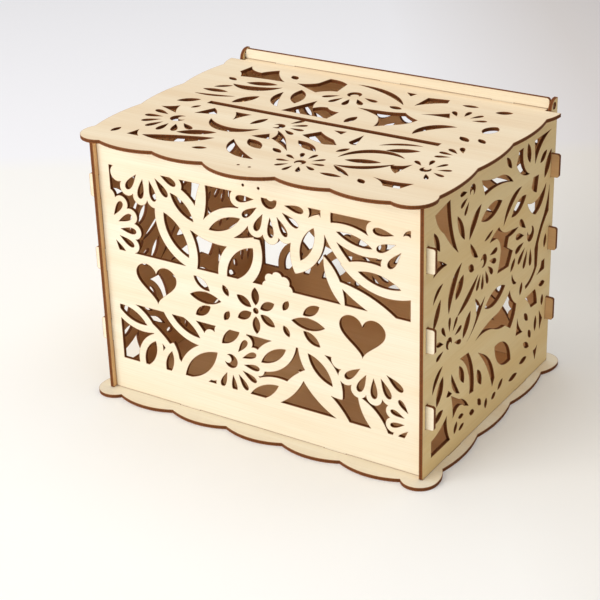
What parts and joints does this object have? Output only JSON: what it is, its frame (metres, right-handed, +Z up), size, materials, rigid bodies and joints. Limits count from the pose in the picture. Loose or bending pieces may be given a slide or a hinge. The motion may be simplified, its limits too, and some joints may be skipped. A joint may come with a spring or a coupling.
{
  "type": "wedding card box",
  "caption": "Slotted plywood box for wedding cards, with flower lattice walls, scalloped base and a hinged scalloped lid that has a long card slot",
  "frame": {"origin": "middle of the underside of the base plate, on the surface the box stands on", "axes": "+X along the box's width to its right as seen from the front, +Y from the front to the back where the hinge is, +Z up"},
  "size_m": [0.322, 0.2597, 0.2413],
  "materials": {
    "plywood": "bare fine-grained plywood, laser-cut edges burnt dark brown"
  },
  "bodies": {
    "box": {"base_plate": "plywood", "front_panel": "plywood", "back_panel": "plywood", "left_panel": "plywood", "right_panel": "plywood"},
    "lid": {"lid_panel": "plywood", "hinge_rail": "plywood"}
  },
  "joints": [
    {"name": "lid_hinge", "type": "hinge", "parent": "box", "child": "lid", "pos_m": [0, 0.1065, 0.2353], "axis": [-1, 0, 0], "range_deg": [0, 145]}
  ]
}
